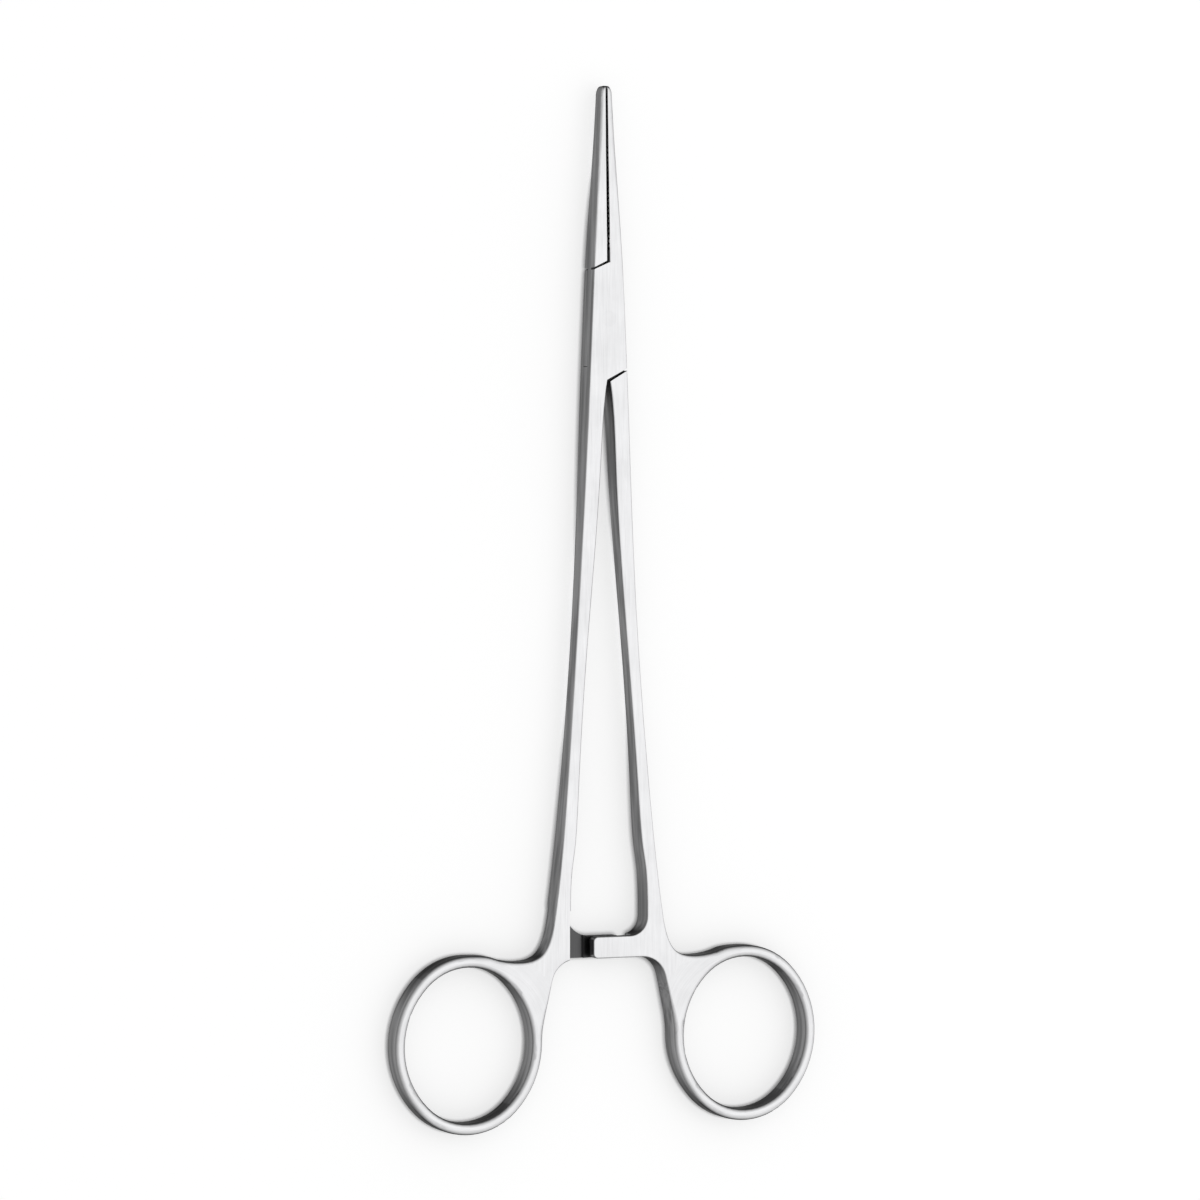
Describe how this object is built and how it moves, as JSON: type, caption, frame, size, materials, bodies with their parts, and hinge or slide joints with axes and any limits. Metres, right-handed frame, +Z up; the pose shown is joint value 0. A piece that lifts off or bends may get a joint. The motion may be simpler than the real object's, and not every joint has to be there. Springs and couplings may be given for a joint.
{
  "type": "artery forceps",
  "caption": "Straight locking artery forceps with finger rings, a box lock, a toothed ratchet and slender serrated jaws in satin steel, lying closed.",
  "frame": {"origin": "centre of the closed tool's outline, on the back face that it lies on", "axes": "+Y towards the jaw tips, +Z up out of the front face, +X to the side of the half that passes through the box"},
  "size_m": [0.0816, 0.186, 0.0045],
  "materials": {
    "satin_steel": "satin ground lengthwise",
    "rivet_steel": "ground flush"
  },
  "bodies": {
    "box_side": {"box_half": "satin_steel", "joint_rivet": "rivet_steel"},
    "tenon_side": {"tenon_half": "satin_steel"}
  },
  "joints": [
    {"name": "box_lock_hinge", "type": "hinge", "parent": "box_side", "child": "tenon_side", "pos_m": [0, 0.0515, 0.00225], "axis": [0, 0, 1], "range_deg": [0, 50]}
  ]
}
